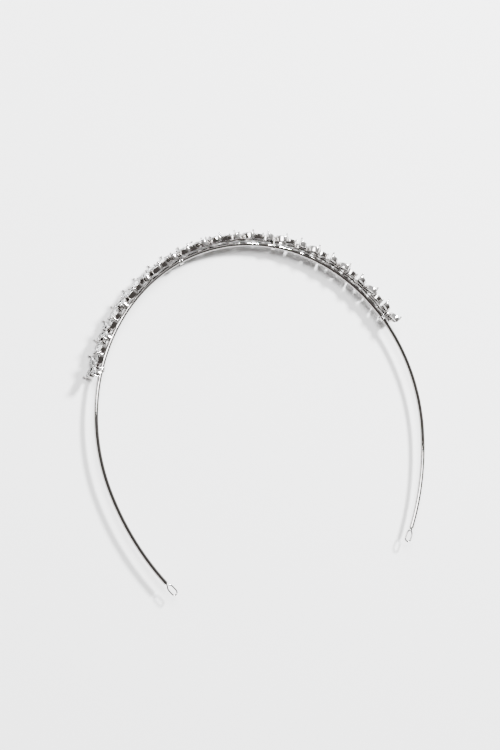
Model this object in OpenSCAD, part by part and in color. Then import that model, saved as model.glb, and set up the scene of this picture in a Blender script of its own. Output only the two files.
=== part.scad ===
// Crystal headband: a slim round band with a row of claw-set stones tied along its crown.
// It lies on its side. X runs across the head, Y from the open end to the crown, Z is up.
// The origin is under the middle of the whole piece, on the surface that it lies on.
// Heights in the row of settings are measured from the inside of the band, away from the head.

/* [Band] */
// Diameter of the round band
band_d = 1.7; // [1.6:0.1:2]
// Radius of the inside of the band over the crown and the sides of the head
crown_r = 70; // [68:0.5:74]
// Half the angle of the crown arc, from the middle of the band
crown_half = 100; // [90:1:105]
// Radius of the inside of the band along the end of each arm, which is straighter
arm_r = 98; // [80:1:140]
// Angle from the middle of the band at which each arm ends
arm_end = 123.3; // [118:0.1:128]

/* [End loops] */
// Diameter of the wire of the end loops
loop_wire_d = 0.55; // [0.45:0.05:0.6]
// Radius of the round end of a loop, to the middle of its wire
loop_r = 1.15; // [1:0.05:1.4]
// Length of a loop from the end of the band to its far side
loop_reach = 6; // [5.4:0.1:6.6]

/* [Row of settings] */
// Distance from one petal cluster to the next along the inside of the band
pitch = 13.8; // [13.8:0.1:14.2]
// Distance of a petal's tip claw from the middle of its cluster, along the band
tip_along = 4.25; // [4.2:0.05:4.3]
// Distance of a petal's tip claw from the middle of its cluster, across the band
tip_across = 3.9; // [3.9:0.05:4.1]
// Height of the top of the petals' claws
tip_h = 5.9; // [5.6:0.1:6.2]
// Height of the rims of the cups
rim_h = 4.5; // [4.4:0.05:4.6]
// Diameter of the base wire that carries the cups
base_wire_d = 0.6; // [0.5:0.05:0.6]
// Diameter of the claws
claw_d = 0.55; // [0.45:0.05:0.6]
// Diameter of the round bead on top of a claw
bead_d = 0.75; // [0.65:0.05:0.8]
// Diameter of the wire of the ties
tie_wire_d = 0.5; // [0.4:0.05:0.5]

/* [Stones] */
// Length of a petal stone
petal_l = 4.7; // [4.5:0.1:4.7]
// Width of a petal stone
petal_w = 2.5; // [2.3:0.1:2.5]
// Diameter of a round stone
round_d = 5; // [4.6:0.1:5]

/* [Hidden] */
$fn = 48;
// Ornament: clusters of four petals, with a round stone between each two of them
cluster_count = 12;
round_count = cluster_count - 1;
// Clusters that a tie binds to the band, counted from the left
tied = [1, 5, 8, 12];
// Free space left between two pieces that sit together
seat_gap = 0.05;
// Cups: wall of a petal cup, height of its foot, and its floor
petal_wall = 0.2;
foot_h = 2.5;
floor_h = 3;
// Middle of a petal's cup and of its stone, from the middle of the cluster
cup_mid = 3.15;
stone_mid = 3.05;
cup_l = petal_l + 0.6;
cup_w = petal_w + 2 * seat_gap + 2 * petal_wall;
// Hub that the four cups of a cluster grow from, and its pin
hub_d = 1.4;
hub_h = 4.2;
// Lowest end of the claws, and how far the round cups' claws are turned from the band's line
claw_from = 2.75;
round_claw_turn = 45;
// Round cup: rim, foot, seat and claws
round_wall = 0.3;
round_rim_d = round_d + 2 * seat_gap + 2 * round_wall;
round_foot_d = round_rim_d - 0.3;
round_floor_h = 3;
round_floor_d = 2.8;
round_claw_h = 5.15;
// Stones: heights of the girdle's edges, of the table and of the lowest point
girdle_low = 4.3;
girdle_high = 4.4;
petal_table_h = 4.95;
petal_low_h = 3.6;
round_table_h = 5.2;
round_low_h = 3.2;
table_part = 0.56;
// Base wire: its axis leaves a tie's wire free on top of the band
base_h = band_d + tie_wire_d + 2 * seat_gap + base_wire_d / 2;
// Ties: the ring round the band, the spacing of its turns and the middle of the tall turn's top
tie_r = band_d / 2 + seat_gap + tie_wire_d / 2;
tie_step = tie_wire_d * 0.96;
tie_top = hub_h + seat_gap + tie_wire_d / 2 - tie_r;
// Top of a tied cluster's hub, whose edge stays a gap inside the tall turn
tied_hub_h = tie_top + sqrt(pow(band_d / 2, 2) - pow(hub_d / 2, 2));
// Arms: a hair slimmer than the crown arc, so that each one runs a little way into its end
arm_slimmer = 0.01;
arm_overlap = 0.25;
// End loops: bored band ends, the stem that sits in them, and where the eye starts
socket_deep = 3;
socket_d = 1.24;
stem_d = 1.1;
stem_l = 2.6;
stem_out = 1.1;
loop_start = 0.8;
// Place of the arcs: middle plane, arc lengths, and centres that centre the whole piece
deg = 180 / PI;
mid_z = tip_across + bead_d / 2;
crown_s = crown_r * crown_half / deg;
row_s = pitch * (cluster_count - 1) / 2;
base_end_s = row_s + hub_d / 2;
arm_end_s = crown_s + arm_r * (arm_end - crown_half) / deg;
top_turn = (pitch / 2 - tip_along) / crown_r * deg;
top_y = (crown_r + tip_h - bead_d / 2) * cos(top_turn) + bead_d / 2;
loop_mid = loop_reach - loop_r - loop_wire_d / 2;
arm_shift = crown_r - arm_r;
low_y = arm_shift * cos(crown_half) + (arm_r + band_d / 2) * cos(arm_end)
    - loop_mid * sin(arm_end) - loop_r - loop_wire_d / 2;
crown_y = -(top_y + low_y) / 2;
petal_turn = atan2(tip_across, tip_along);
tip_reach = norm([tip_along, tip_across]);

// Arc length along the inside of the band, from its middle, of a cluster and of a round stone
function cluster_s(i) = (i - (cluster_count + 1) / 2) * pitch;
function round_s(i) = (i - (round_count + 1) / 2) * pitch;

// Puts its children on the inside of the band at arc length s: X along it, Z away from the head
module on_band(s) {
    side = sign(s);
    past = max(abs(s) - crown_s, 0);
    on_arm = past > 0;
    turn = on_arm ? side * (crown_half + past / arm_r * deg) : s / crown_r * deg;
    x = on_arm ? side * arm_shift * sin(crown_half) : 0;
    y = on_arm ? crown_y + arm_shift * cos(crown_half) : crown_y;
    translate([x, y, mid_z])
        rotate([0, 0, -turn])
            translate([0, on_arm ? arm_r : crown_r, 0])
                rotate([-90, 0, 0])
                    children();
}

// Round rod bent along the crown arc at height h, for half_turn to both sides of the middle
module crown_rod(h, d, half_turn) {
    translate([0, crown_y, mid_z])
        rotate([0, 0, 90 - half_turn])
            rotate_extrude(angle = 2 * half_turn)
                translate([crown_r + h, 0])
                    circle(d = d);
}

// Round rod bent along the arm on one side
module arm_rod(side, d) {
    from = crown_half - arm_overlap;
    translate([side * arm_shift * sin(crown_half), crown_y + arm_shift * cos(crown_half), mid_z])
        rotate([0, 0, side > 0 ? 90 - arm_end : 90 + from])
            rotate_extrude(angle = arm_end - from)
                translate([arm_r + band_d / 2, 0])
                    circle(d = d);
}

// Closed ring of wire across X, round the X axis with radius r, its far half raised along Z
module wire_ring(r, d, rise) {
    rotate([0, 90, 0]) {
        rotate([0, 0, -90])
            rotate_extrude(angle = 180)
                translate([r, 0])
                    circle(d = d);
        translate([-rise, 0, 0])
            rotate([0, 0, 90])
                rotate_extrude(angle = 180)
                    translate([r, 0])
                        circle(d = d);
        if (rise > 0)
            for (side = [-1, 1])
                translate([0, side * r, 0])
                    rotate([0, -90, 0])
                        cylinder(d = d, h = rise);
    }
}

// Upright prism with two bowed sides that meet at a point at each end
module lens_prism(l, w, low, high) {
    bow = (l * l + w * w) / (4 * w);
    intersection() {
        translate([0, bow - w / 2, low])
            cylinder(r = bow, h = high - low);
        translate([0, w / 2 - bow, low])
            cylinder(r = bow, h = high - low);
    }
}

// Claw with a round bead on its end
module claw(from, top, bead) {
    translate([0, 0, from])
        cylinder(d = claw_d, h = top - bead / 2 - from);
    translate([0, 0, top - bead / 2])
        sphere(d = bead);
}

// Cup of one petal, from the middle of its cluster along X
module petal_cup() {
    difference() {
        translate([cup_mid, 0, 0])
            lens_prism(cup_l, cup_w, foot_h, rim_h);
        translate([stone_mid, 0, 0])
            lens_prism(petal_l + 2 * seat_gap, petal_w + 2 * seat_gap, floor_h, rim_h + 1);
    }
    translate([tip_reach, 0, 0])
        claw(claw_from, tip_h, bead_d);
}

// Turns its children to the four petals of a cluster
module each_petal() {
    for (turn = [petal_turn, 180 - petal_turn, 180 + petal_turn, -petal_turn])
        rotate([0, 0, turn])
            children();
}

// Four cups round a hub: a free cluster has a claw in its middle, a tied one leaves room for the wire
module cluster(is_tied) {
    each_petal()
        petal_cup();
    translate([0, 0, base_h])
        cylinder(d = hub_d, h = (is_tied ? tied_hub_h : hub_h) - base_h);
    if (!is_tied)
        claw(base_h, tip_h, bead_d);
}

// Round cup with four claws
module round_cup() {
    difference() {
        translate([0, 0, foot_h])
            cylinder(d1 = round_foot_d, d2 = round_rim_d, h = rim_h - foot_h);
        translate([0, 0, round_floor_h])
            cylinder(d1 = round_floor_d, d2 = round_d + 2 * seat_gap, h = girdle_low - round_floor_h);
        translate([0, 0, girdle_low - seat_gap])
            cylinder(d = round_d + 2 * seat_gap, h = rim_h);
    }
    for (turn = [0:90:270])
        rotate([0, 0, turn + round_claw_turn])
            translate([round_d / 2 + seat_gap + claw_d / 2, 0, 0])
                claw(claw_from, round_claw_h, bead_d);
}

// Outline of a cut stone with bowed sides and a point at each end
function lens_outline(l, w, steps) =
    let (bow = (l * l + w * w) / (4 * w), half_turn = asin(l / 2 / bow))
    [for (side = [1, -1], i = [0:steps - 1])
        let (a = half_turn * (1 - 2 * i / steps))
        side * [bow * sin(a), bow * cos(a) - bow + w / 2]];

// Outline of a round cut stone
function round_outline(d, steps) = [for (i = [0:steps - 1]) d / 2 * [cos(-i * 360 / steps), sin(-i * 360 / steps)]];

function ring_at(outline, part, h) = [for (p = outline) [p[0] * part, p[1] * part, h]];

// Cut stone: a flat table, a ring of crown facets, a thin girdle and a ring of facets to the lowest point
module cut_stone(outline, low, table) {
    n = len(outline);
    points = concat(
        ring_at(outline, table_part, table),
        ring_at(outline, 1, girdle_high),
        ring_at(outline, 1, girdle_low),
        [[0, 0, low]]);
    sides = [for (ring = [0, 1], i = [0:n - 1])
        [ring * n + i, ring * n + (i + 1) % n, (ring + 1) * n + (i + 1) % n, (ring + 1) * n + i]];
    bottom = [for (i = [0:n - 1]) [2 * n + i, 2 * n + (i + 1) % n, 3 * n]];
    polyhedron(points, concat([[for (i = [n - 1:-1:0]) i]], sides, bottom));
}

// The band, with a bored end on each arm
module band() {
    color("silver")
        difference() {
            union() {
                crown_rod(band_d / 2, band_d, crown_half);
                for (side = [-1, 1])
                    arm_rod(side, band_d - arm_slimmer);
            }
            for (side = [-1, 1])
                on_band(side * arm_end_s)
                    translate([-side * socket_deep, 0, band_d / 2])
                        rotate([0, side * 90, 0])
                            cylinder(d = socket_d, h = socket_deep + 1);
        }
}

// Wire eye that continues the arm on one side, on a stem that sits in the bored end of the band
module end_loop(side) {
    near_mid = loop_start + loop_wire_d / 2 + loop_r;
    color("silver")
        on_band(side * arm_end_s)
            translate([0, 0, band_d / 2])
                rotate([0, 0, side > 0 ? 0 : 180]) {
                    translate([near_mid, 0, 0])
                        rotate([90, 0, 90])
                            wire_ring(loop_r, loop_wire_d, loop_mid - near_mid);
                    translate([-stem_l, 0, 0])
                        rotate([0, 90, 0])
                            cylinder(d = stem_d, h = stem_l + stem_out);
                }
}

// All the soldered metal of the ornament
module setting_row() {
    color("silver") {
        crown_rod(base_h, base_wire_d, base_end_s / crown_r * deg);
        for (i = [1:cluster_count])
            on_band(cluster_s(i))
                cluster(len(search(i, tied)) > 0);
        for (i = [1:round_count])
            on_band(round_s(i))
                round_cup();
    }
}

// The stones of all the petals
module petal_stones() {
    color("white")
        for (i = [1:cluster_count])
            on_band(cluster_s(i))
                each_petal()
                    translate([stone_mid, 0, 0])
                        cut_stone(lens_outline(petal_l, petal_w, 4), petal_low_h, petal_table_h);
}

// The round stone in round cup i, counted from the left
module round_stone(i) {
    color("white")
        on_band(round_s(i))
            cut_stone(round_outline(round_d, 16), round_low_h, round_table_h);
}

// Tie i: a turn over the middle of its cluster, between two turns round the band alone
module tie(i) {
    color("silver")
        on_band(cluster_s(tied[i - 1]))
            translate([0, 0, band_d / 2]) {
                wire_ring(tie_r, tie_wire_d, tie_top - band_d / 2);
                for (side = [-1, 1])
                    translate([side * tie_step, 0, 0])
                        wire_ring(tie_r, tie_wire_d, 0);
            }
}

band();
end_loop(-1);  // end_loop_left
end_loop(1);  // end_loop_right
setting_row();
petal_stones();
for (i = [1:round_count])
    round_stone(i);
for (i = [1:len(tied)])
    tie(i);
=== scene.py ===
import math

import bmesh
import bpy
from mathutils import Matrix, Vector


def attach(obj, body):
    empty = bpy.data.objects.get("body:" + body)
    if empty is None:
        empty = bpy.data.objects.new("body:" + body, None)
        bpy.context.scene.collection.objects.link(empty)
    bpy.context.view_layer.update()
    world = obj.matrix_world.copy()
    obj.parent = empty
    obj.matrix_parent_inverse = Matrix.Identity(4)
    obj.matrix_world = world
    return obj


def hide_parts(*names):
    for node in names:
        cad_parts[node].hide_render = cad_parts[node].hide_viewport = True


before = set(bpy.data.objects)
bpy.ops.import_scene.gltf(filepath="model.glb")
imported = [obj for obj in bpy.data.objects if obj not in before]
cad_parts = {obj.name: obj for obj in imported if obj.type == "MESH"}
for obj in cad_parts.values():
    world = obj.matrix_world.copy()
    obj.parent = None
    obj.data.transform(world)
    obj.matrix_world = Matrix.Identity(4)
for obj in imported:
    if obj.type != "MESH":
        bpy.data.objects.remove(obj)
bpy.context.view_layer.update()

bl_info = {
    "name": "Crystal Headband",
    "version": (1, 0, 0),
    "blender": (4, 5, 0),
    "location": "View3D > Sidebar > Headband",
    "description": "Makes the pieces, the finishes and the stage of a crystal headband",
    "category": "Add Mesh",
}

MM = 0.001

# Points round each kind of section
CLAW_SIDES, HUB_SIDES, CUP_SIDES, WIRE_SIDES, TIE_SIDES, GIRDLE_SIDES = 14, 20, 48, 12, 10, 32
# Angles in degrees past which an edge stays sharp
TURNED_EDGE, WIRE_EDGE = 28, 60
# Distances in metres under which two points, or two corners of a stone, are one
SAME_POINT, SAME_CORNER = 1e-7, 4e-6
# Petals round a hub
SPOKES = 4
# Distance in millimetres between the base wire's rings of points
WIRE_STEP = 0.9
# Rings of a claw's bead, in degrees above its middle
BEAD_RINGS = (-42, -20, 0, 22, 44, 64, 82)
# Softened edges of a petal cup: insets, and heights above its foot or rim, in millimetres
FOOT_EDGE = ((0.3, 0), (0.1, 0.04), (0, 0.12))
RIM_EDGE = ((0, -0.09), (0.04, -0.03), (0.12, 0))
# Share of a stone's half width that the slope of its crown takes
CROWN_SHARE = 0.46
# Facets above and below the girdle, and how much steeper the small ones are, in degrees
MAIN_FACETS, SMALL_FACETS = 8, 16
STEEPER_ABOVE, STEEPER_BELOW, STEEPEST = 7, 3, 80
# Slopes of the facets on a petal stone's tips, in degrees
TIP_ABOVE, TIP_BELOW = 52, 19
# Scale and detail of the noise in the finishes
PLATING_CLOUD, DRAW_LINES, CAST_SKIN = (260.0, 3.0), (5200.0, 2.0), (2600.0, 3.0)
CRYSTAL_CLOUD, FLOOR_CLOUD = (420.0, 2.0), (6.0, 2.0)
# Draw lines are stretched along the rod. The relief's depths are in millimetres
LINE_STRETCH = (0.012, 1.0, 1.0)
LINE_DEEP, SKIN_DEEP = 0.004, 0.02
# Soft lights: direction from the aim, size in metres and power in watts
LIGHTS = (
    ("key light", (0.62, 0.42, 0.66), 0.28, 98),
    ("top light", (-0.2, 0.48, 0.855), 0.9, 46),
)
LIGHT_AWAY, FLOOR_HALF = 1.5, 3
# The room is dark towards the open end of the band and pale beyond its crown
ROOM_WAY, ROOM_STRENGTH = (0.35, 0.93, 0.0), 1.2
ROOM_STOPS = [
    (0.0, (0.12, 0.111, 0.106)), (0.12, (0.17, 0.16, 0.154)),
    (0.28, (0.45, 0.445, 0.44)), (0.55, (0.95, 0.95, 0.95)),
]


# Sizes and colours that a user can change


def millimetres(name, description, size):
    """A length that the panel shows in the scene's unit."""
    return bpy.props.FloatProperty(
        name=name, description=description, default=size * MM, precision=5, unit="LENGTH"
    )


def degrees(name, description, angle):
    """An angle that the panel shows in degrees."""
    return bpy.props.FloatProperty(
        name=name, description=description, default=math.radians(angle), unit="ROTATION"
    )


def colour(name, description, *rgb):
    """A colour without alpha."""
    return bpy.props.FloatVectorProperty(
        name=name, description=description, default=rgb, size=3, min=0, max=1, subtype="COLOR"
    )


def number(name, description, count):
    """A whole number."""
    return bpy.props.IntProperty(name=name, description=description, default=count, min=0)


class BandSizes(bpy.types.PropertyGroup):
    rod: millimetres("Rod", "Diameter of the round band", 1.7)
    crown_radius: millimetres("Crown radius", "Inside radius over the crown and sides", 70)
    crown_half: degrees("Crown half angle", "Half the angle of the crown arc", 100)
    arm_radius: millimetres("Arm radius", "Inside radius along the end of each arm", 98)
    arm_end: degrees("Arm end", "Angle from the middle at which each arm ends", 123.3)
    bore: millimetres("Bore", "Diameter of the bore in each end", 1.24)
    bore_deep: millimetres("Bore depth", "Depth of the bore in each end", 3)
    ring_step: millimetres("Ring step", "Distance between the rod's rings of points", 1.2)
    sides: number("Sides", "Points round the rod", 32)


class LoopSizes(bpy.types.PropertyGroup):
    wire: millimetres("Wire", "Diameter of the wire of the end loops", 0.55)
    radius: millimetres("Radius", "Radius of the round end, to the middle of its wire", 1.15)
    reach: millimetres("Reach", "Length of a loop from the end of the band", 6)
    tail: millimetres("Tail", "Length of the two legs inside the band", 2.6)
    twist_end: millimetres("Twist end", "Where the legs part, past the band's end", 0.95)


class RowSizes(bpy.types.PropertyGroup):
    clusters: number("Clusters", "Number of four-petal clusters", 12)
    pitch: millimetres("Pitch", "Distance between clusters along the inside of the band", 13.8)
    tip_along: millimetres("Tip along", "Tip claw from the middle, along the band", 4.25)
    tip_across: millimetres("Tip across", "Tip claw from the middle, across the band", 3.9)
    tip_height: millimetres("Tip height", "Height of the top of the petals' claws", 5.9)
    rim_height: millimetres("Rim height", "Height of the rims of the cups", 4.5)
    foot_height: millimetres("Foot height", "Height of the lower ends of the cups", 2.5)
    floor_height: millimetres("Floor height", "Height of the floor inside a cup", 3)
    cup_middle: millimetres("Cup middle", "Petal cup's middle from its cluster's", 3.15)
    cup_length: millimetres("Cup length", "Length of a petal cup", 5.3)
    cup_width: millimetres("Cup width", "Width of a petal cup", 3)
    hub: millimetres("Hub", "Diameter of the hub of a cluster", 1.4)
    hub_height: millimetres("Hub height", "Height of the top of a free cluster's hub", 4.2)
    tied_height: millimetres("Tied hub height", "Height of the top of a tied hub", 3.83)
    base_wire: millimetres("Base wire", "Diameter of the wire that carries the cups", 0.6)
    base_height: millimetres("Base height", "Height of the middle of the base wire", 2.6)
    claw: millimetres("Claw", "Diameter of the claws", 0.55)
    bead: millimetres("Bead", "Diameter of the bead on top of a claw", 0.75)
    round_foot: millimetres("Round foot", "Diameter of the foot of a round cup", 5.4)
    round_rim: millimetres("Round rim", "Diameter of the rim of a round cup", 5.7)
    round_claw_height: millimetres("Round claw height", "Height of the round cups' claws", 5.15)
    claw_low: millimetres("Claw low", "Height of the lower ends of the claws", 2.75)
    claw_lean: millimetres("Claw lean", "How far a petal's claw leans in at its top", 0.16)


class StoneSizes(bpy.types.PropertyGroup):
    petal_length: millimetres("Petal length", "Length of a petal stone", 4.7)
    petal_width: millimetres("Petal width", "Width of a petal stone", 2.5)
    petal_middle: millimetres("Petal middle", "Petal stone's middle from its cluster's", 3.05)
    petal_table: millimetres("Petal table", "Height of a petal stone's table", 4.95)
    petal_low: millimetres("Petal low", "Height of a petal stone's lowest point", 3.6)
    round_size: millimetres("Round", "Diameter of a round stone", 5)
    round_table: millimetres("Round table", "Height of a round stone's table", 5.2)
    round_low: millimetres("Round low", "Height of a round stone's lowest point", 3.2)
    girdle: millimetres("Girdle", "Height of the middle of the girdles", 4.35)
    girdle_thick: millimetres("Girdle thickness", "Thickness of the girdles", 0.1)
    gap: millimetres("Gap", "Free space round a stone in its cup", 0.05)
    tilt: degrees("Tilt", "Largest tilt of a stone in its cup", 0.5)
    seed: number("Seed", "Seed of the small tilts and turns", 7)


class TieSizes(bpy.types.PropertyGroup):
    wire: millimetres("Wire", "Diameter of the wire of the ties", 0.5)
    ring: millimetres("Ring", "Radius of a turn, to the middle of its wire", 1.15)
    step: millimetres("Step", "Distance between two turns", 0.48)
    top: millimetres("Top", "Height of the middle of the tall turn's round end", 3.35)
    first: number("First", "Cluster that the first tie binds, counted from the left", 1)
    second: number("Second", "Cluster that the second tie binds", 5)
    third: number("Third", "Cluster that the third tie binds", 8)
    fourth: number("Fourth", "Cluster that the fourth tie binds", 12)


class Finish(bpy.types.PropertyGroup):
    band_metal: colour("Band metal", "Plated metal of the band", 0.44, 0.425, 0.415)
    setting_metal: colour("Setting metal", "Plated metal of the settings", 0.52, 0.505, 0.495)
    tie_metal: colour("Tie wire", "Soft bright wire of the ties", 0.78, 0.77, 0.76)
    loop_metal: colour("Loop wire", "Greyer wire of the end loops", 0.3, 0.29, 0.285)
    crystal: colour("Crystal", "Clear cut stone", 0.97, 0.985, 1.0)
    polish: bpy.props.FloatProperty(
        name="Polish", description="Roughness of the polished metal", default=0.07,
        min=0, max=1, subtype="FACTOR",
    )


class StageSettings(bpy.types.PropertyGroup):
    floor: colour("Floor", "Pale floor", 0.91, 0.915, 0.92)
    aim: bpy.props.FloatVectorProperty(
        name="Aim", description="Point that the camera looks at", size=3, unit="LENGTH",
        default=(-1.14 * MM, 10.07 * MM, 4.27 * MM),
    )
    distance: millimetres("Distance", "Distance of the camera from its aim", 1140.3)
    bearing: degrees("Bearing", "Direction from the aim to the camera, from X to Y", -175.0)
    elevation: degrees("Elevation", "Angle of the camera above the floor", 59.89)
    roll: degrees("Roll", "Turn of the camera round its own axis", 73.46)
    lens: bpy.props.FloatProperty(
        name="Lens", description="Focal length of the camera", default=144, unit="CAMERA"
    )


class HeadbandSettings(bpy.types.PropertyGroup):
    band: bpy.props.PointerProperty(type=BandSizes)
    loops: bpy.props.PointerProperty(type=LoopSizes)
    row: bpy.props.PointerProperty(type=RowSizes)
    stones: bpy.props.PointerProperty(type=StoneSizes)
    ties: bpy.props.PointerProperty(type=TieSizes)
    finish: bpy.props.PointerProperty(type=Finish)
    stage: bpy.props.PointerProperty(type=StageSettings)


# Layout that follows from the sizes, by the same rule that centres the solids


def settings():
    return bpy.context.scene.headband


def middle_height():
    """Height of the band's middle plane above the surface that the piece lies on."""
    row = settings().row
    return row.tip_across + row.bead / 2


def arm_end_along():
    """Distance of an arm's end from the middle of the band, along its inside."""
    band = settings().band
    crown = band.crown_radius * band.crown_half
    return crown + band.arm_radius * (band.arm_end - band.crown_half)


def crown_centre():
    """Place along Y of the middle of the crown arc."""
    band, loops, row = settings().band, settings().loops, settings().row
    top_turn = (row.pitch / 2 - row.tip_along) / band.crown_radius
    reach = band.crown_radius + row.tip_height - row.bead / 2
    top = reach * math.cos(top_turn) + row.bead / 2
    loop_middle = loops.reach - loops.radius - loops.wire / 2
    low = (
        (band.crown_radius - band.arm_radius) * math.cos(band.crown_half)
        + (band.arm_radius + band.rod / 2) * math.cos(band.arm_end)
        - loop_middle * math.sin(band.arm_end) - loops.radius - loops.wire / 2
    )
    return -(top + low) / 2


# Node trees: a socket that takes part in Python expressions


def feed(node, key, link):
    """Joins a link to an input socket."""
    link.tree.links.new(link.socket, node.inputs[key])


class Link:
    """An output socket of a node tree. Arithmetic on it adds the Math nodes."""

    def __init__(self, tree, socket=None):
        self.tree = tree
        self.socket = socket

    def add(self, kind, choices=None, sockets=None, out=0):
        """A node of any kind: its choices first, then the values or links of its sockets."""
        node = self.tree.nodes.new(kind)
        for name, value in (choices or {}).items():
            if name == "stops":
                ramp = node.color_ramp
                while len(ramp.elements) < len(value):
                    ramp.elements.new(1)
                for element, (place, rgb) in zip(ramp.elements, value):
                    element.position = place
                    element.color = (*rgb, 1)
            else:
                setattr(node, name, value)
        for key, value in (sockets or {}).items():
            if isinstance(value, Link):
                feed(node, key, value)
            else:
                node.inputs[key].default_value = value
        return Link(self.tree, node.outputs[out] if node.outputs else None)

    def out(self, key):
        """Another output of the same node."""
        return Link(self.tree, self.socket.node.outputs[key])

    def maths(self, operation, *values, kind="ShaderNodeMath"):
        return self.add(kind, {"operation": operation}, dict(enumerate(values)))

    def vector(self, operation, *values):
        return self.maths(operation, *values, kind="ShaderNodeVectorMath")

    def xyz(self, x, y, z):
        return self.add("ShaderNodeCombineXYZ", sockets={"X": x, "Y": y, "Z": z})

    def parts(self):
        """The three numbers of a vector."""
        split = self.add("ShaderNodeSeparateXYZ", sockets={"Vector": self})
        return split, split.out("Y"), split.out("Z")

    def noise(self, scale, detail):
        sockets = {"Vector": self, "Scale": scale, "Detail": detail}
        return self.add("ShaderNodeTexNoise", sockets=sockets)

    def mixed(self, low, high):
        """Colour between two colours."""
        sockets = {"Factor": self, 6: (*low, 1), 7: (*high, 1)}
        return self.add("ShaderNodeMix", {"data_type": "RGBA"}, sockets, out=2)

    def __add__(self, other):
        return self.maths("ADD", self, other)

    __radd__ = __add__

    def __sub__(self, other):
        return self.maths("SUBTRACT", self, other)

    def __rsub__(self, other):
        return self.maths("SUBTRACT", other, self)

    def __mul__(self, other):
        return self.maths("MULTIPLY", self, other)

    __rmul__ = __mul__

    def __truediv__(self, other):
        return self.maths("DIVIDE", self, other)

    def __rtruediv__(self, other):
        return self.maths("DIVIDE", other, self)

    def __gt__(self, other):
        return self.maths("GREATER_THAN", self, other)

    def __abs__(self):
        return self.maths("ABSOLUTE", self)


# Geometry Nodes


def new_tree(name, **inputs):
    """A Geometry Nodes tree with named inputs: gives the tree and links to its inputs."""
    tree = bpy.data.node_groups.new(name, "GeometryNodeTree")
    tree.interface.new_socket("Geometry", in_out="OUTPUT", socket_type="NodeSocketGeometry")
    for label, kind in {"Geometry": "geometry", **inputs}.items():
        kind = f"NodeSocket{kind.capitalize()}"
        tree.interface.new_socket(label, in_out="INPUT", socket_type=kind)
    group_in = tree.nodes.new("NodeGroupInput")
    links = {label: Link(tree, group_in.outputs[label]) for label in ["Geometry", *inputs]}
    return tree, links


def close_tree(links, geometry):
    """Ends a tree in real geometry, with its material on it."""
    real = geometry.add("GeometryNodeRealizeInstances", sockets={"Geometry": geometry})
    painted = real.add(
        "GeometryNodeSetMaterial", sockets={"Geometry": real, "Material": links["Material"]}
    )
    feed(geometry.tree.nodes.new("NodeGroupOutput"), "Geometry", painted)
    return geometry.tree


BAND_INPUTS = dict.fromkeys(
    ("Crown_Radius", "Crown_Half", "Arm_Radius", "Crown_Centre", "Middle_Height"), "float"
)
TIES = "First_Tie", "Second_Tie", "Third_Tie", "Fourth_Tie"
TIE_INPUTS = dict.fromkeys(TIES, "int")


def band_values():
    """Values of the inputs that every tree along the band has."""
    band = settings().band
    sizes = band.crown_radius, band.crown_half, band.arm_radius, crown_centre(), middle_height()
    return dict(zip(BAND_INPUTS, sizes))


def along_band(links, along, across, height):
    """Position and turn of a point given along, across and above the inside of the band."""
    radius, half = links["Crown_Radius"], links["Crown_Half"]
    side = along.maths("SIGN", along)
    past = along.maths("MAXIMUM", abs(along) - radius * half, 0)
    on_arm = past > 0
    turn = along.maths("MINIMUM", abs(along) / radius, half) + past / links["Arm_Radius"]
    wider = on_arm * (links["Arm_Radius"] - radius)
    reach = radius + wider + height
    x = reach * turn.maths("SINE", turn) - wider * half.maths("SINE", half)
    y = reach * turn.maths("COSINE", turn) - wider * half.maths("COSINE", half)
    position = x.xyz(side * x, y + links["Crown_Centre"], links["Middle_Height"] - across)
    return position, side * turn


def bend_tree():
    """Bends a straight mesh onto the band and keeps its straight coordinates."""
    tree, links = new_tree("Bend along the band", **BAND_INPUTS, Material="material")
    position = links["Geometry"].add("GeometryNodeInputPosition")
    kept = position.add(
        "GeometryNodeStoreNamedAttribute",
        {"data_type": "FLOAT_VECTOR", "domain": "POINT"},
        {"Geometry": links["Geometry"], "Name": "straight", "Value": position},
    )
    bent, _ = along_band(links, *position.parts())
    moved = kept.add("GeometryNodeSetPosition", sockets={"Geometry": kept, "Position": bent})
    return close_tree(links, moved)


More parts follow.
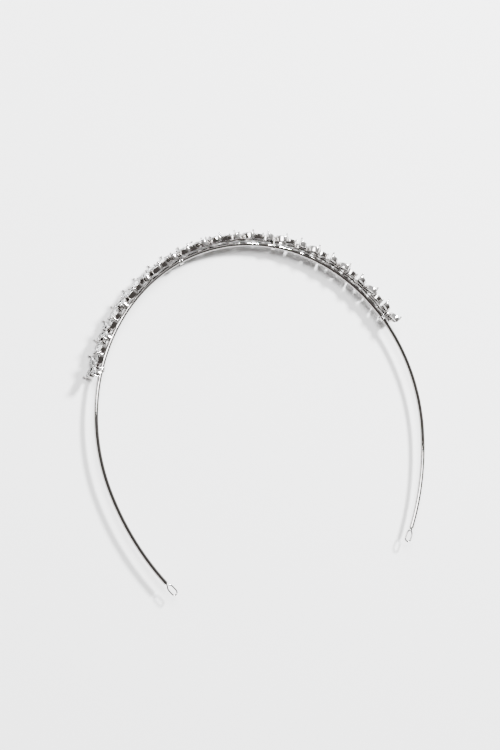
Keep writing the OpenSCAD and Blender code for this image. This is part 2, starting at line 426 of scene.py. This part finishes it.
def placed(links, prototype, count, pitch, height=0.0, on_spokes=False, chosen=None):
    """Copies of a prototype along the band, each turned to it, or on spokes at each station."""
    start = links["Geometry"]
    points = start.add(
        "GeometryNodePoints", sockets={"Count": count * SPOKES if on_spokes else count}
    )
    index = start.add("GeometryNodeInputIndex")
    station = index.maths("FLOOR", index / SPOKES) if on_spokes else index
    along = (station - (count - 1) / 2) * pitch
    position, turn = along_band(links, along, 0.0, 0.0)
    base = turn.add(
        "FunctionNodeEulerToRotation",
        sockets={0: turn.xyz(-math.pi / 2, 0.0, turn * -1)},
    )
    lean_x, lean_y, spin = 0.0, 0.0, 0.0
    if "Tilt" in links:
        leans = start.add(
            "FunctionNodeRandomValue",
            {"data_type": "FLOAT_VECTOR"},
            {"Min": (-1, -1, -1), "Max": (1, 1, 1), "Seed": links["Seed"]},
        )
        lean_x, lean_y, spin = (part * links["Tilt"] for part in leans.parts())
    offset_x, offset_y = 0.0, 0.0
    if on_spokes:
        # Spokes 0 and 3 lean to the right, 0 and 1 up
        quarter = index - station * SPOKES
        right = quarter.maths("COMPARE", quarter.maths("MODULO", quarter, 3), 0, 0.1)
        upper = 1 - (quarter > 1.5)
        flat = (upper * 2 - 1) * links["Spoke_Turn"]
        spin_to = flat * (right * 2 - 1) + (1 - right) * math.pi
        offset_x = links["Spoke"] * spin_to.maths("COSINE", spin_to)
        offset_y = links["Spoke"] * spin_to.maths("SINE", spin_to)
        spin = spin_to + spin
    local = start.add(
        "FunctionNodeEulerToRotation", sockets={0: start.xyz(lean_x, lean_y, spin)}
    )
    facing = base.add(
        "FunctionNodeRotateRotation",
        {"rotation_space": "LOCAL"},
        {"Rotation": base, "Rotate By": local},
    )
    offset = base.add(
        "FunctionNodeRotateVector",
        sockets={"Vector": start.xyz(offset_x, offset_y, height), "Rotation": base},
    )
    put = points.add(
        "GeometryNodeSetPosition",
        sockets={"Geometry": points, "Position": position.vector("ADD", position, offset)},
    )
    copied = start.add("GeometryNodeObjectInfo", sockets={"Object": prototype}, out="Geometry")
    sockets = {"Points": put, "Instance": copied, "Rotation": facing}
    if chosen is not None:
        sockets["Selection"] = chosen
    return put.add("GeometryNodeInstanceOnPoints", sockets=sockets)


def bound(links):
    """1 at the clusters that a tie binds."""
    index = links["Geometry"].add("GeometryNodeInputIndex")
    found = 0.0
    for label in TIES:
        found = index.maths("COMPARE", index + 1, links[label], 0.1) + found
    return found


def tie_values():
    """Values of the inputs that say which clusters are tied."""
    ties = settings().ties
    return dict(zip(TIES, (ties.first, ties.second, ties.third, ties.fourth)))


def setting_tree():
    """The base wire bent to the band, with the clusters and the round cups that stand on it."""
    tree, links = new_tree(
        "Row of settings", **BAND_INPUTS, **TIE_INPUTS, Clusters="int", Pitch="float",
        Free_Cluster="object", Tied_Cluster="object", Round_Cup="object", Material="material",
    )
    position = links["Geometry"].add("GeometryNodeInputPosition")
    bent, _ = along_band(links, *position.parts())
    wire = position.add(
        "GeometryNodeSetPosition", sockets={"Geometry": links["Geometry"], "Position": bent}
    )
    count, pitch = links["Clusters"], links["Pitch"]
    tied = bound(links)
    rows = [
        placed(links, links["Free_Cluster"], count, pitch, chosen=1 - tied),
        placed(links, links["Tied_Cluster"], count, pitch, chosen=tied),
        placed(links, links["Round_Cup"], count - 1, pitch),
    ]
    joined = wire.add("GeometryNodeJoinGeometry", sockets={"Geometry": wire})
    for row in rows:
        feed(joined.socket.node, "Geometry", row)
    return close_tree(links, joined)


def stone_tree(name, on_spokes):
    """Stones along the row, one at each station or four on spokes, each a hair off true."""
    spokes = {"Spoke": "float", "Spoke_Turn": "float"} if on_spokes else {}
    tree, links = new_tree(
        name, **BAND_INPUTS, **spokes, Stations="int", Pitch="float", Height="float",
        Tilt="float", Seed="int", Stone="object", Material="material",
    )
    stones = placed(
        links, links["Stone"], links["Stations"], links["Pitch"], links["Height"], on_spokes
    )
    return close_tree(links, stones)


def tie_tree():
    """A tie at each bound cluster."""
    tree, links = new_tree(
        "Ties", **BAND_INPUTS, **TIE_INPUTS, Clusters="int", Pitch="float", Tie="object",
        Material="material",
    )
    ties = placed(links, links["Tie"], links["Clusters"], links["Pitch"], chosen=bound(links))
    return close_tree(links, ties)


def grow(name, tree, values, start=None):
    """Runs a tree, keeps its result as a plain mesh, and takes its prototypes away."""
    holder = bpy.data.objects.new(name, start.data if start else bpy.data.meshes.new(name))
    bpy.context.scene.collection.objects.link(holder)
    modifier = holder.modifiers.new(tree.name, "NODES")
    modifier.node_group = tree
    for item in tree.interface.items_tree:
        if item.item_type == "SOCKET" and item.in_out == "INPUT" and item.name in values:
            modifier[item.identifier] = values[item.name]
    depsgraph = bpy.context.evaluated_depsgraph_get()
    mesh = bpy.data.meshes.new_from_object(
        holder.evaluated_get(depsgraph), preserve_all_data_layers=True, depsgraph=depsgraph
    )
    for thing in (holder, start, *values.values()):
        if isinstance(thing, bpy.types.Object):
            bpy.data.objects.remove(thing)
    if not mesh.polygons:
        raise RuntimeError(f"{name}: the tree {tree.name!r} made nothing")
    mesh.name = name
    piece = bpy.data.objects.new(name, mesh)
    bpy.context.scene.collection.objects.link(piece)
    return piece


# Meshes


def shape(name, bm, sharp=None, merge=SAME_POINT):
    """A prototype object from a bmesh, with faces outwards and edges sharp past an angle."""
    bmesh.ops.remove_doubles(bm, verts=bm.verts, dist=merge)
    bmesh.ops.recalc_face_normals(bm, faces=bm.faces)
    mesh = bpy.data.meshes.new(name)
    bm.to_mesh(mesh)
    bm.free()
    if sharp is None:
        mesh.shade_flat()
    else:
        mesh.shade_smooth()
        mesh.set_sharp_from_angle(angle=math.radians(sharp))
    thing = bpy.data.objects.new(name, mesh)
    bpy.context.scene.collection.objects.link(thing)
    return thing


def loft(bm, rings):
    """Skin over rings of equally many points, closed at both ends."""
    rows = [[bm.verts.new(point) for point in ring] for ring in rings]
    size = len(rows[0])
    for low, high in zip(rows, rows[1:]):
        for i in range(size):
            bm.faces.new((low[i], low[(i + 1) % size], high[(i + 1) % size], high[i]))
    bm.faces.new(rows[0][::-1])
    bm.faces.new(rows[-1])


def angles(sides):
    """Angles of the points round a section."""
    return [2 * math.pi * k / sides for k in range(sides)]


def circle(radius, sides, height=0.0):
    """Level ring of points round Z."""
    return [
        Vector((radius * math.cos(a), radius * math.sin(a), height)) for a in angles(sides)
    ]


def turned(*spots):
    """(radius, height) pairs, each from a radius, mm outwards, a height and mm upwards."""
    return [(radius + out * MM, height + up * MM) for radius, out, height, up in spots]


def lathe(bm, profile, sides):
    """Solid of revolution round Z from (radius, height) pairs."""
    loft(bm, [circle(radius, sides, height) for radius, height in profile])


def sweep(bm, path, radii, sides):
    """Round wire along a path, its section carried without twist, closed at both ends."""
    ahead = [
        (path[min(i + 1, len(path) - 1)] - path[max(i - 1, 0)]).normalized()
        for i in range(len(path))
    ]
    side = ahead[0].orthogonal().normalized()
    rings = []
    for i, (point, radius) in enumerate(zip(path, radii)):
        if i:
            side = ahead[i - 1].rotation_difference(ahead[i]) @ side
        other = ahead[i].cross(side)
        rings.append([
            point + radius * (math.cos(a) * side + math.sin(a) * other)
            for a in angles(sides)
        ])
    loft(bm, rings)


def claw(bm, spots, turn=0.0):
    """Claw through (reach, height) pairs in one direction, with a bead round the last one."""
    wire, bead = settings().row.claw, settings().row.bead
    way = Vector((math.cos(turn), math.sin(turn), 0))
    path = [way * reach + Vector((0, 0, height)) for reach, height in spots]
    tip = path[-1]
    up = (tip - path[-2]).normalized()
    points, radii = list(path[:-1]), [wire / 2] * (len(path) - 1)
    for degree in BEAD_RINGS:
        angle = math.radians(degree)
        points.append(tip + up * (bead / 2 * math.sin(angle)))
        radii.append(bead / 2 * math.cos(angle))
    sweep(bm, points, radii, CLAW_SIDES)


def bow_of(length, width):
    """Radius of the two bowed sides of a boat shape, and half the angle of each."""
    bow = (length ** 2 + width ** 2) / (4 * width)
    return bow, math.asin(length / 2 / bow)


def lens(length, width, height, steps=10, middle=0.0):
    """Outline with two bowed sides that meet at a point at each end."""
    bow, half = bow_of(length, width)
    points = []
    for side in (1, -1):
        for i in range(steps):
            a = half * (1 - 2 * i / steps)
            points.append(Vector((
                middle + side * bow * math.sin(a),
                side * (bow * math.cos(a) - bow + width / 2),
                height,
            )))
    return points


def petal_cup(bm):
    """Straight-walled cup of one petal along X, with its tip claw."""
    row, stones = settings().row, settings().stones
    foot, rim, middle = row.foot_height, row.rim_height, row.cup_middle
    length, width = row.cup_length, row.cup_width
    rings = [
        lens(length - inset * MM, width - inset * MM, level + up * MM, middle=middle)
        for level, edge in ((foot, FOOT_EDGE), (rim, RIM_EDGE)) for inset, up in edge
    ]
    # The well: a softened edge, a straight wall round the stone, and a hollow under it
    well, room = stones.petal_middle, 2 * stones.gap
    long, wide = stones.petal_length + room, stones.petal_width + room
    rings += [
        lens(long + 0.1 * MM, wide + 0.1 * MM, rim, middle=well),
        lens(long, wide, rim - 0.06 * MM, middle=well),
        lens(long, wide, stones.girdle - 0.13 * MM, middle=well),
        lens(long * 0.5, wide * 0.5, row.floor_height, middle=well),
    ]
    loft(bm, rings)
    reach = math.hypot(row.tip_along, row.tip_across)
    top = row.tip_height - row.bead / 2
    claw(bm, turned(
        (reach, -0.04, row.claw_low, 0), (reach, 0, row.claw_low, 0.3), (reach, 0, rim, 0),
        (reach - 0.3 * row.claw_lean, 0, rim, 0.5), (reach - row.claw_lean, 0, top, 0),
    ))


def cluster(name, tied):
    """Four petal cups on a turned hub. A tied one leaves the hub's top free for the wire."""
    row = settings().row
    bm = bmesh.new()
    turn = math.atan2(row.tip_across, row.tip_along)
    for spin in (turn, math.pi - turn, math.pi + turn, -turn):
        done = len(bm.verts)
        petal_cup(bm)
        bm.verts.ensure_lookup_table()
        spun = Matrix.Rotation(spin, 4, "Z")
        bmesh.ops.transform(bm, verts=bm.verts[done:], matrix=spun)
    hub, low = row.hub / 2, row.base_height
    high = row.tied_height if tied else row.hub_height
    lathe(bm, turned(
        (0, 0.3, low, -0.24), (0, 0.5, low, -0.18), (hub, -0.12, low, 0),
        (hub, -0.02, low, 0.14), (hub, 0, low, 0.34), (hub, -0.1, low, 0.7),
        (hub, -0.06, high, -0.3), (hub, -0.02, high, -0.16), (hub, -0.12, high, -0.03),
        (0, 0.1, high, 0),
    ), HUB_SIDES)
    if not tied:
        top = row.tip_height - row.bead / 2
        claw(bm, turned((0, 0, high, -0.4), (0, 0, high, 0), (0, 0, top, 0)))
    return shape(name, bm, sharp=TURNED_EDGE)


def round_cup():
    """Round cup with a turned rim and four claws between the petals."""
    row, stones = settings().row, settings().stones
    foot, rim, low, top = row.round_foot / 2, row.round_rim / 2, row.foot_height, row.rim_height
    inner = stones.round_size / 2 + stones.gap

    def wall(height):
        return foot + (rim - foot) * (height - low) / (top - low)

    bm = bmesh.new()
    groove = [
        (wall(top - down * MM), -cut, top, -down)
        for down, cut in ((0.5, 0), (0.46, 0.05), (0.4, 0.05), (0.36, 0))
    ]
    lathe(bm, turned(
        (foot * 0.3, 0, low, 0.04), (foot, -0.4, low, 0), (foot, -0.12, low, 0),
        (foot, -0.03, low, 0.04), (foot, 0, low, 0.12), *groove,
        (rim, 0, top, -0.1), (rim, -0.03, top, -0.03), (rim, -0.1, top, 0),
        (inner, 0.06, top, 0), (inner, 0, top, -0.05), (inner, 0, stones.girdle, -0.12),
        (0, 1.4, row.floor_height, 0), (0, 0.3, row.floor_height, 0),
    ), CUP_SIDES)
    out = stones.round_size / 2 + stones.gap + row.claw / 2
    high = row.round_claw_height - row.bead / 2
    for quarter in range(4):
        claw(bm, turned(
            (out, -0.12, row.claw_low, 0), (out, -0.05, row.claw_low, 0.3), (out, 0, 0, 4.2),
            (out, 0, high, -0.2), (out, -0.04, high, 0),
        ), math.pi / 4 + quarter * math.pi / 2)
    return shape("round cup", bm, sharp=TURNED_EDGE)


def straight_rod(name, half, radius, height, step, sides, end_profile):
    """Straight rod along X at a height. Its ends are turned from (radius, depth) pairs."""
    bm = bmesh.new()
    count = max(2, round(2 * half / step))
    profile = [(radius, -half + 2 * half * i / count) for i in range(1, count)]
    ends = [(r, -half + deep) for r, deep in end_profile]
    mirrored = [(r, half - deep) for r, deep in reversed(end_profile)]
    up = Vector((0, 0, height))
    loft(bm, [
        [Vector((x, r * math.cos(a), r * math.sin(a))) + up for a in angles(sides)]
        for r, x in ends + profile + mirrored
    ])
    return shape(name, bm, sharp=TURNED_EDGE)


def trim(bm, point, facing):
    """Cuts one flat facet: what lies beyond the plane goes, and the cut is closed."""
    cut = bmesh.ops.bisect_plane(
        bm, geom=bm.verts[:] + bm.edges[:] + bm.faces[:], dist=1e-9,
        plane_co=point, plane_no=facing, clear_outer=True,
    )
    edges = [item for item in cut["geom_cut"] if isinstance(item, bmesh.types.BMEdge)]
    if len(edges) > 2:
        bmesh.ops.edgeloop_fill(bm, edges=edges)


def facet_places(length, width, top, low, thick):
    """Places and slopes of the facets above and below a round or bowed girdle."""
    is_round = length == width
    if is_round:
        def spot(turn):
            x, y = math.cos(turn), math.sin(turn)
            return width / 2 * x, width / 2 * y, x, y
    else:
        bow, half = bow_of(length, width)

        def spot(turn):
            side = 1 if math.sin(turn) >= 0 else -1
            # The facets next to the tips stand a little nearer to them
            a = half * math.copysign(min(abs(math.cos(turn)) * 1.02, 1), math.cos(turn))
            return (
                bow * math.sin(a), side * (bow * math.cos(a) - bow + width / 2),
                math.sin(a), side * math.cos(a),
            )

    crown = math.degrees(math.atan2(top - thick / 2, width / 2 * CROWN_SHARE))
    pavilion = math.degrees(math.atan2(-low - thick / 2, width / 2))
    places = []
    for k in range(MAIN_FACETS):
        turn = math.pi / 4 * (k + 0.5)
        places.append((*spot(turn), crown))
        places.append((*spot(turn), -pavilion))
    for k in range(SMALL_FACETS):
        turn = math.pi / 8 * (k + 0.5)
        places.append((*spot(turn), min(crown + STEEPER_ABOVE, STEEPEST)))
        places.append((*spot(turn), -(pavilion + STEEPER_BELOW)))
    if is_round:
        return places
    # Only the tips' own facets stand on the tips
    places = [place for place in places if abs(place[0]) < length * 0.499]
    for side in (1, -1):
        for slope in (TIP_ABOVE, -TIP_BELOW):
            places.append((side * length / 2, 0, side, 0, slope))
    return places


def cut_stone(name, outline, length, width, table, lowest):
    """Brilliant-cut stone round the origin, with the outline as its girdle."""
    stones = settings().stones
    thick, top, low = stones.girdle_thick, table - stones.girdle, lowest - stones.girdle
    bm = bmesh.new()
    # The blank reaches a little past the point where the lower facets meet
    loft(bm, [
        [Vector((point.x, point.y, height)) for point in outline]
        for height in (low * 1.05, top)
    ])
    for x, y, nx, ny, slope in facet_places(length, width, top, low, thick):
        out = Vector((nx, ny, 0)).normalized()
        up = slope > 0
        edge = Vector((x, y, thick / 2 if up else -thick / 2))
        lean = math.radians(abs(slope))
        facing = out * math.sin(lean) + Vector((0, 0, math.cos(lean) * (1 if up else -1)))
        trim(bm, edge, facing)
    return shape(name, bm, merge=SAME_CORNER)


def petal_stone():
    stones = settings().stones
    length, width, table = stones.petal_length, stones.petal_width, stones.petal_table
    outline = lens(length, width, 0, steps=12)
    return cut_stone("petal stone", outline, length, width, table, stones.petal_low)


def round_stone():
    stones = settings().stones
    size = stones.round_size
    outline = circle(size / 2, GIRDLE_SIDES)
    return cut_stone("round stone", outline, size, size, stones.round_table, stones.round_low)


def tie_path():
    """One wire in three turns: the middle one rises and passes over its cluster's hub."""
    ties, band = settings().ties, settings().band
    points = []
    turns, steps = 3, 40
    low = band.rod / 2
    for turn in range(turns):
        high = ties.top if turn == 1 else low
        for i in range(steps + (turn == turns - 1)):
            # The angle starts under the band, on its inside
            angle = 2 * math.pi * i / steps
            y, z = ties.ring * math.sin(angle), -ties.ring * math.cos(angle)
            z += high if math.cos(angle) < -1e-9 else low
            # Near the inside of the band the wire moves over by one step
            near = min(angle, 2 * math.pi - angle) / math.radians(70)
            shift = (1 - min(near, 1)) ** 1.5 / 2
            x = turn - 1 + (-shift if angle < math.pi else shift)
            points.append(Vector((x * ties.step, y, z)))
    return points


def smooth_path(corners, per_span):
    """Catmull-Rom curve through points."""
    out = []
    last = len(corners) - 1
    for i in range(last):
        a, b, c, d = (corners[max(0, min(last, i + k))] for k in (-1, 0, 1, 2))
        for k in range(per_span):
            t = k / per_span
            out.append(0.5 * (
                2 * b + (c - a) * t + (2 * a - 5 * b + 4 * c - d) * t ** 2
                + (3 * b - a - 3 * c + d) * t ** 3
            ))
    out.append(corners[-1])
    return out


def loop_path():
    """Wire of an end loop: two legs in the bore, half a twist, and a round eye."""
    loops = settings().loops
    # A hair of air parts the legs
    leg = loops.wire / 2 + 0.005 * MM
    start, end = -0.3 * MM, loops.twist_end
    centre = loops.reach - loops.wire / 2 - loops.radius
    one = [Vector((x, 0, leg)) for x in (-loops.tail, -loops.tail / 2, start)]
    for i in range(1, 9):
        a = math.pi * i / 8
        one.append(Vector((
            start + (end - start) * i / 8, leg * math.sin(a), leg * math.cos(a)
        )))
    # The legs open out to the eye: millimetres past the twist, and shares of the eye's radius
    for ahead, wide in ((0.4, 0.52), (0.85, 0.8), (1.4, 0.95), (2.2, 1.0)):
        one.append(Vector((end + ahead * MM, 0, -wide * loops.radius)))
    for degree in (-90, -60, -30, 0):
        a = math.radians(degree)
        one.append(Vector((
            centre + loops.radius * math.cos(a), 0, loops.radius * math.sin(a)
        )))
    other = [Vector((p.x, -p.y, -p.z)) for p in reversed(one[:-1])]
    return smooth_path(one + other, 4)


# Finishes


def new_material(name):
    """A material with its Principled shader and a link to start expressions from."""
    material = bpy.data.materials.new(name)
    material.use_nodes = True
    shader = material.node_tree.nodes["Principled BSDF"]
    return material, shader, Link(material.node_tree)


def plated_metal(name, tone, polish, drawn):
    """Polished plating: a faint cloud in its tone and gloss, over draw lines or a cast skin."""
    material, shader, start = new_material(name)
    if drawn:
        where = start.add("ShaderNodeAttribute", {"attribute_name": "straight"}, out="Vector")
    else:
        where = start.add("ShaderNodeTexCoord", out="Object")
    cloud = where.noise(*PLATING_CLOUD)
    if drawn:
        fine = where.vector("MULTIPLY", where, LINE_STRETCH).noise(*DRAW_LINES)
        deep = LINE_DEEP * MM
    else:
        fine = where.noise(*CAST_SKIN)
        deep = SKIN_DEEP * MM
    dark = [0.88 * part for part in tone]
    feed(shader, "Base Color", cloud.mixed(dark, tone))
    feed(shader, "Roughness", polish * 0.6 + cloud * (polish * 0.5) + fine * (polish * 0.4))
    bump = start.add(
        "ShaderNodeBump", sockets={"Strength": 0.5, "Distance": deep, "Height": fine}
    )
    feed(shader, "Normal", bump)
    shader.inputs["Metallic"].default_value = 1.0
    return material


def crystal(name, tone):
    """Clear cut stone: a faint unevenness of the polish keeps its facets alive."""
    material, shader, start = new_material(name)
    where = start.add("ShaderNodeTexCoord", out="Object")
    cloud = where.noise(*CRYSTAL_CLOUD)
    pale = [0.9 + 0.1 * part for part in tone]
    feed(shader, "Base Color", cloud.mixed(tone, pale))
    feed(shader, "Roughness", cloud * 0.02)
    shader.inputs["Transmission Weight"].default_value = 1.0
    shader.inputs["IOR"].default_value = 1.6
    return material


def pale_floor(name, tone):
    """Matt floor with a very faint cloud."""
    material, shader, start = new_material(name)
    where = start.add("ShaderNodeTexCoord", out="Object")
    cloud = where.noise(*FLOOR_CLOUD)
    dark = [0.985 * part for part in tone]
    feed(shader, "Base Color", cloud.mixed(dark, tone))
    shader.inputs["Roughness"].default_value = 0.7
    shader.inputs["Specular IOR Level"].default_value = 0.25
    return material


def stone_values(stone, name, stations, seed=0):
    """Values of the inputs of a tree of stones, with the stones' material."""
    row, stones = settings().row, settings().stones
    return {
        **band_values(), "Stations": stations, "Pitch": row.pitch, "Height": stones.girdle,
        "Tilt": stones.tilt, "Seed": stones.seed + seed, "Stone": stone,
        "Material": crystal(name, settings().finish.crystal),
    }


def dress(piece, slot, *nodes):
    """Puts a finished piece on the part: it rides on its body and stands for its nodes."""
    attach(piece, "root")
    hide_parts(*nodes)


# Operators


class HEADBAND_OT_band(bpy.types.Operator):
    """Makes the round band with its bored ends"""

    bl_idname = "headband.band"
    bl_label = "Band"

    def execute(self, context):
        band, finish = settings().band, settings().finish
        radius, bore = band.rod / 2, band.bore / 2
        half = arm_end_along()
        deep = band.bore_deep
        ends = turned(
            (bore * 0.2, 0, deep, 0), (bore * 0.9, 0, deep, -0.02), (bore, 0, deep, -0.1),
            (bore, 0, 0, 0.05), (bore, 0.04, 0, 0), (radius, -0.1, 0, 0),
            (radius, -0.03, 0, 0.03), (radius, 0, 0, 0.1), (radius, 0, 0, 0.15),
        )
        rod = straight_rod("rod", half, radius, radius, band.ring_step, band.sides, ends)
        metal = plated_metal("band metal", finish.band_metal, finish.polish, True)
        piece = grow("band_rod", bend_tree(), {**band_values(), "Material": metal}, rod)
        dress(piece, "band_metal", "band")
        return {"FINISHED"}


class HEADBAND_OT_end_loops(bpy.types.Operator):
    """Makes the twisted wire eye in each end of the band"""

    bl_idname = "headband.end_loops"
    bl_label = "End loops"

    def execute(self, context):
        band, loops, finish = settings().band, settings().loops, settings().finish
        metal = plated_metal("loop wire", finish.loop_metal, finish.polish * 1.4, False)
        half, wider = band.crown_half, band.arm_radius - band.crown_radius
        path = loop_path()
        for name, side in (("left", -1), ("right", 1)):
            bm = bmesh.new()
            sweep(bm, path, [loops.wire / 2] * len(path), WIRE_SIDES)
            bm.transform(Matrix.Translation((0, 0, band.rod / 2)))
            if side < 0:
                bm.transform(Matrix.Rotation(math.pi, 4, "Z"))
            bm.transform(
                Matrix.Translation((
                    -side * wider * math.sin(half), crown_centre() - wider * math.cos(half),
                    middle_height(),
                ))
                @ Matrix.Rotation(-side * band.arm_end, 4, "Z")
                @ Matrix.Translation((0, band.arm_radius, 0))
                @ Matrix.Rotation(-math.pi / 2, 4, "X")
            )
            piece = shape(f"wire_eye_{name}", bm, sharp=WIRE_EDGE)
            piece.data.materials.append(metal)
            dress(piece, "tie_wire", f"end_loop_{name}")
        return {"FINISHED"}


class HEADBAND_OT_setting_row(bpy.types.Operator):
    """Makes the base wire with its petal clusters and round cups"""

    bl_idname = "headband.setting_row"
    bl_label = "Setting row"

    def execute(self, context):
        row, finish = settings().row, settings().finish
        half = row.pitch * (row.clusters - 1) / 2 + row.hub / 2
        radius = row.base_wire / 2
        ends = turned(
            (radius * 0.2, 0, 0, 0), (radius * 0.7, 0, 0, 0.04), (radius, 0, 0, 0.14),
            (radius, 0, 0, 0.2),
        )
        wire = straight_rod(
            "base wire", half, radius, row.base_height, WIRE_STEP * MM, WIRE_SIDES, ends
        )
        free, tied = cluster("free cluster", False), cluster("tied cluster", True)
        cup = round_cup()
        metal = plated_metal("setting metal", finish.setting_metal, finish.polish, False)
        values = {
            **band_values(), **tie_values(), "Clusters": row.clusters, "Pitch": row.pitch,
            "Free_Cluster": free, "Tied_Cluster": tied, "Round_Cup": cup, "Material": metal,
        }
        piece = grow("settings", setting_tree(), values, wire)
        dress(piece, "setting_metal", "setting_row")
        return {"FINISHED"}


class HEADBAND_OT_petal_stones(bpy.types.Operator):
    """Makes the four boat-shaped stones of every cluster"""

    bl_idname = "headband.petal_stones"
    bl_label = "Petal stones"

    def execute(self, context):
        row = settings().row
        values = {
            **stone_values(petal_stone(), "petal crystal", row.clusters),
            "Spoke": settings().stones.petal_middle,
            "Spoke_Turn": math.atan2(row.tip_across, row.tip_along),
        }
        piece = grow("petal_crystals", stone_tree("Petal stones", True), values)
        dress(piece, "crystal", "petal_stones")
        return {"FINISHED"}


class HEADBAND_OT_round_stones(bpy.types.Operator):
    """Makes the round stones between the clusters"""

    bl_idname = "headband.round_stones"
    bl_label = "Round stones"

    def execute(self, context):
        count = settings().row.clusters - 1
        values = stone_values(round_stone(), "round crystal", count, 1)
        piece = grow("round_crystals", stone_tree("Round stones", False), values)
        dress(piece, "crystal", *(f"round_stone_{i + 1}" for i in range(count)))
        return {"FINISHED"}


class HEADBAND_OT_ties(bpy.types.Operator):
    """Makes the wound wire that binds the row to the band"""

    bl_idname = "headband.ties"
    bl_label = "Ties"

    def execute(self, context):
        row, ties, finish = settings().row, settings().ties, settings().finish
        path, bm = tie_path(), bmesh.new()
        sweep(bm, path, [ties.wire / 2] * len(path), TIE_SIDES)
        tie = shape("tie", bm, sharp=WIRE_EDGE)
        metal = plated_metal("tie wire", finish.tie_metal, finish.polish * 1.4, False)
        values = {
            **band_values(), **tie_values(), "Clusters": row.clusters, "Pitch": row.pitch,
            "Tie": tie, "Material": metal,
        }
        piece = grow("wound_ties", tie_tree(), values)
        dress(piece, "tie_wire", *(f"tie_{i + 1}" for i in range(len(TIES))))
        return {"FINISHED"}


class HEADBAND_OT_stage(bpy.types.Operator):
    """Makes the pale floor, the soft lights and the camera"""

    bl_idname = "headband.stage"
    bl_label = "Stage"

    def execute(self, context):
        stage, scene = settings().stage, context.scene
        bm = bmesh.new()
        bmesh.ops.create_grid(bm, x_segments=2, y_segments=2, size=FLOOR_HALF)
        floor = shape("floor", bm)
        floor.data.materials.append(pale_floor("floor", stage.floor))

        aim = Vector(stage.aim)
        flat = math.cos(stage.elevation)
        back = Vector((
            flat * math.cos(stage.bearing), flat * math.sin(stage.bearing),
            math.sin(stage.elevation),
        ))
        level = Vector((0, 0, 1)).cross(back).normalized()
        right = math.cos(stage.roll) * level + math.sin(stage.roll) * back.cross(level)
        up = back.cross(right)
        turn = Matrix((right, up, back)).transposed().to_4x4()
        camera = bpy.data.objects.new("camera", bpy.data.cameras.new("camera"))
        camera.data.lens = stage.lens
        camera.data.sensor_width = 36
        camera.data.clip_start, camera.data.clip_end = 0.05, 20
        camera.matrix_world = Matrix.Translation(aim + back * stage.distance) @ turn
        scene.collection.objects.link(camera)
        scene.camera = camera

        for name, direction, size, watts in LIGHTS:
            way = Vector(direction).normalized()
            lamp = bpy.data.lights.new(name, "AREA")
            lamp.shape, lamp.size, lamp.energy = "DISK", size, watts
            light = bpy.data.objects.new(name, lamp)
            facing = way.to_track_quat("Z", "Y").to_matrix().to_4x4()
            light.matrix_world = Matrix.Translation(aim + way * LIGHT_AWAY) @ facing
            scene.collection.objects.link(light)

        world = bpy.data.worlds.new("studio")
        world.use_nodes = True
        scene.world = world
        start = Link(world.node_tree)
        way = start.add("ShaderNodeTexCoord", out="Generated")
        across_room = way.vector("DOT_PRODUCT", way, ROOM_WAY).out("Value")
        grey = start.add("ShaderNodeValToRGB", {"stops": ROOM_STOPS}, {"Fac": across_room})
        background = world.node_tree.nodes["Background"]
        feed(background, "Color", grey)
        background.inputs["Strength"].default_value = ROOM_STRENGTH
        return {"FINISHED"}


class HEADBAND_PT_sidebar(bpy.types.Panel):
    """Sizes, finishes and pieces of the headband"""

    bl_idname = "HEADBAND_PT_sidebar"
    bl_label = "Crystal Headband"
    bl_space_type = "VIEW_3D"
    bl_region_type = "UI"
    bl_category = "Headband"

    def draw(self, context):
        layout = self.layout
        for group in HeadbandSettings.__annotations__:
            box = layout.box()
            box.label(text=group.capitalize())
            owner = getattr(context.scene.headband, group)
            for name in owner.bl_rna.properties.keys():
                if name not in ("rna_type", "name"):
                    box.prop(owner, name)
        for piece in PIECES:
            layout.operator(piece.bl_idname)


PIECES = (
    HEADBAND_OT_band, HEADBAND_OT_end_loops, HEADBAND_OT_setting_row,
    HEADBAND_OT_petal_stones, HEADBAND_OT_round_stones, HEADBAND_OT_ties, HEADBAND_OT_stage,
)
CLASSES = (
    BandSizes, LoopSizes, RowSizes, StoneSizes, TieSizes, Finish, StageSettings,
    HeadbandSettings, *PIECES, HEADBAND_PT_sidebar,
)


def register():
    for item in CLASSES:
        bpy.utils.register_class(item)
    bpy.types.Scene.headband = bpy.props.PointerProperty(type=HeadbandSettings)


def unregister():
    del bpy.types.Scene.headband
    for item in reversed(CLASSES):
        bpy.utils.unregister_class(item)


def main():
    register()
    bpy.ops.headband.band()
    bpy.ops.headband.end_loops()
    bpy.ops.headband.setting_row()
    bpy.ops.headband.petal_stones()
    bpy.ops.headband.round_stones()
    bpy.ops.headband.ties()
    bpy.ops.headband.stage()


if __name__ == "__main__":
    main()
